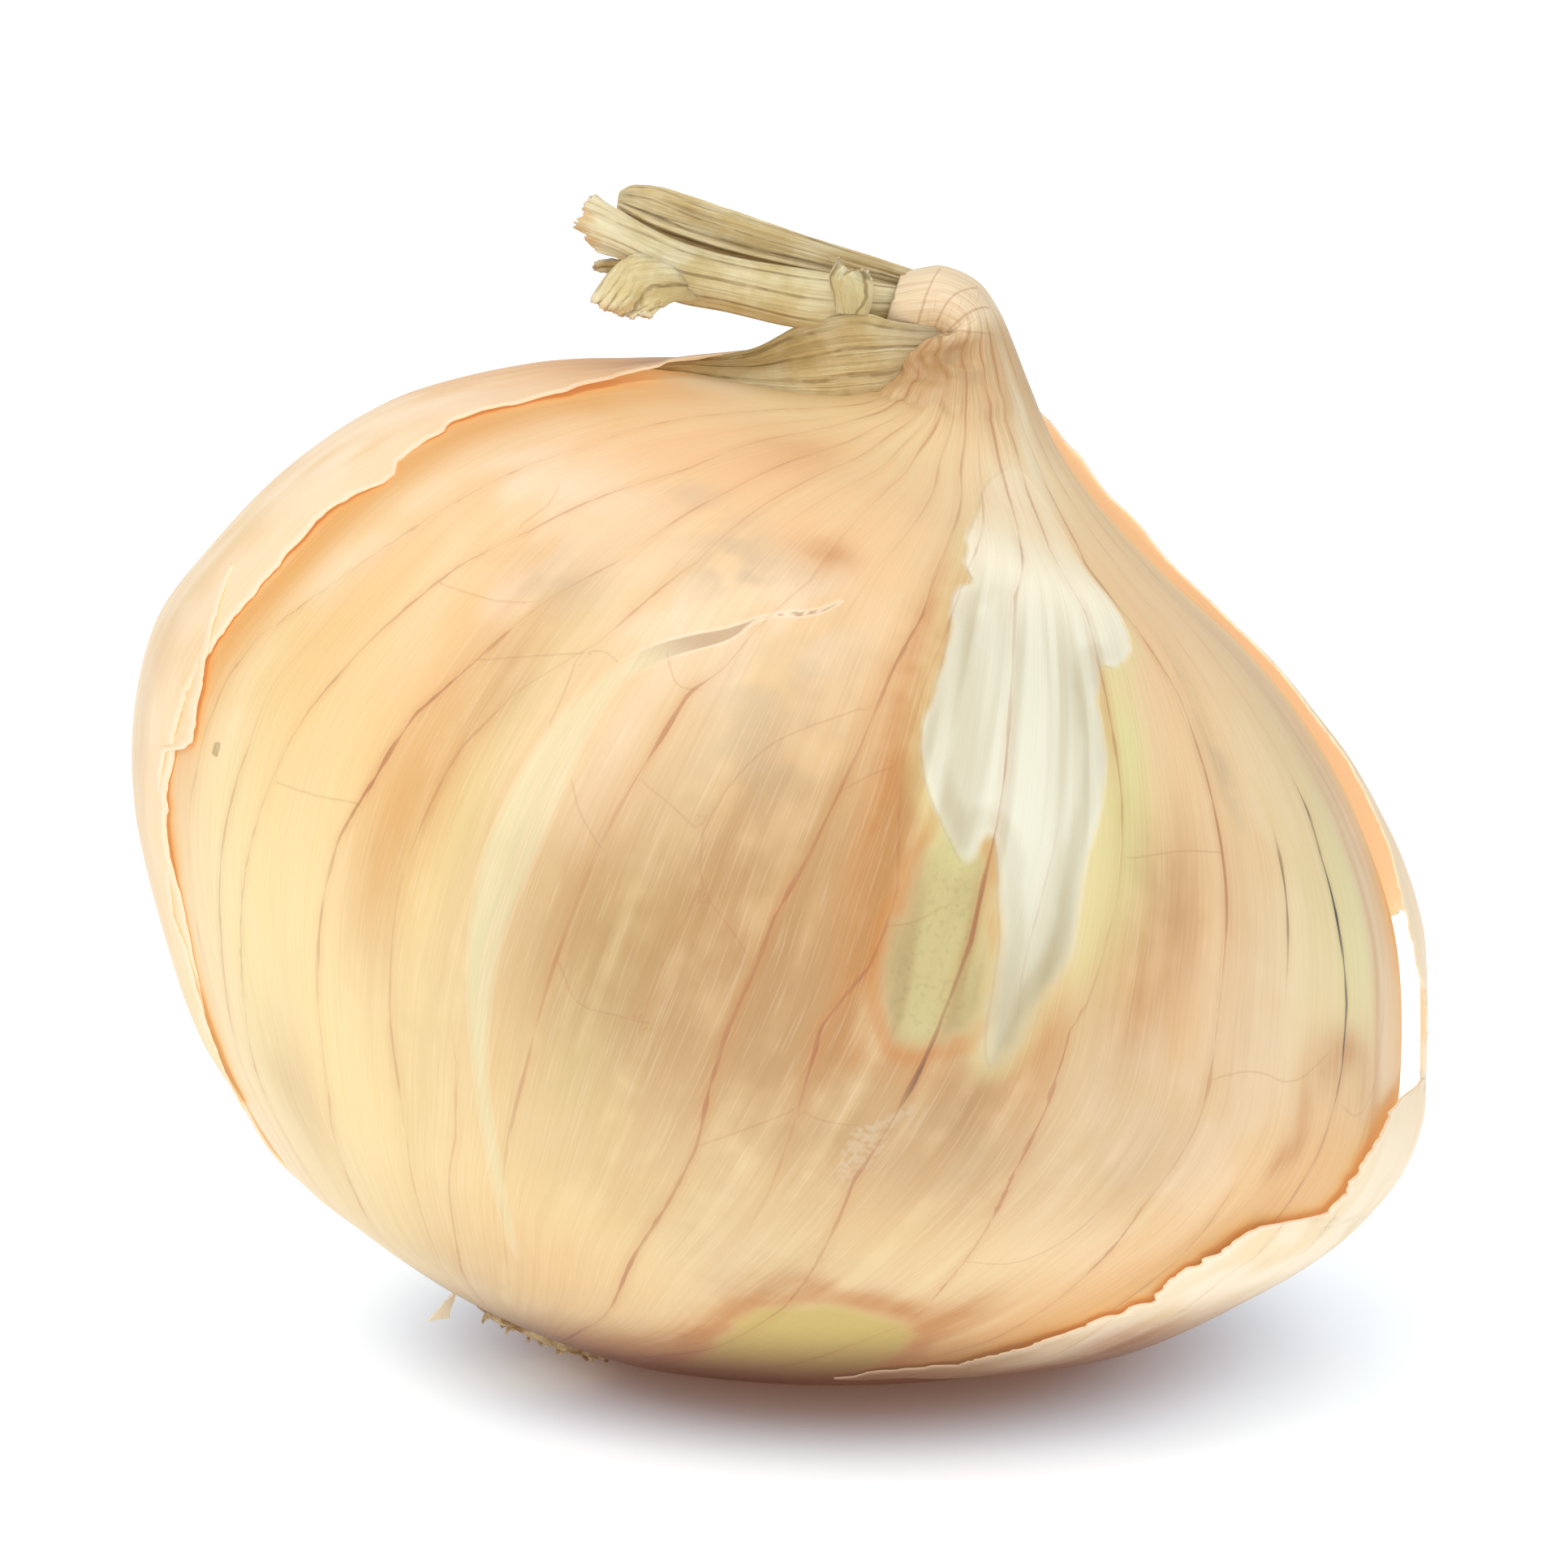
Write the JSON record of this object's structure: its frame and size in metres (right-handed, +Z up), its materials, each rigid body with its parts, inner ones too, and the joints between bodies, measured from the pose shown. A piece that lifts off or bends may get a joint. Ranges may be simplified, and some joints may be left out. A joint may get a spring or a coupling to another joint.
{
  "type": "onion",
  "caption": "Whole fresh yellow onion lying on its side, with torn papery outer skin, a short folded neck with dried leaf ends, and a root plate.",
  "frame": {"origin": "middle of the small flat spot that the bulb rests on", "axes": "+Z up, -Y towards the picture's camera, +X to the right of the picture, so the neck's side of the bulb is up and right and the root end is low and left"},
  "size_m": [0.0839, 0.0858, 0.0758],
  "materials": {
    "tight_skin": "thin dry skin drawn tight over the fresh bulb, satin, cream to straw yellow with brown veins",
    "loose_skin": "loose papery outer skin, translucent at its torn edges, satin",
    "dry_leaf": "dried fibrous leaf, matt, straw with brown stripes",
    "root": "dry fibrous root plate with cut root stubs, matt"
  },
  "bodies": {
    "root": {"bulb": "tight_skin", "outer_skin": "loose_skin", "dry_leaf_roll": "dry_leaf", "dry_leaf_frill": "dry_leaf", "leaf_scrap": "dry_leaf", "root_plate": "root"}
  },
  "joints": []
}
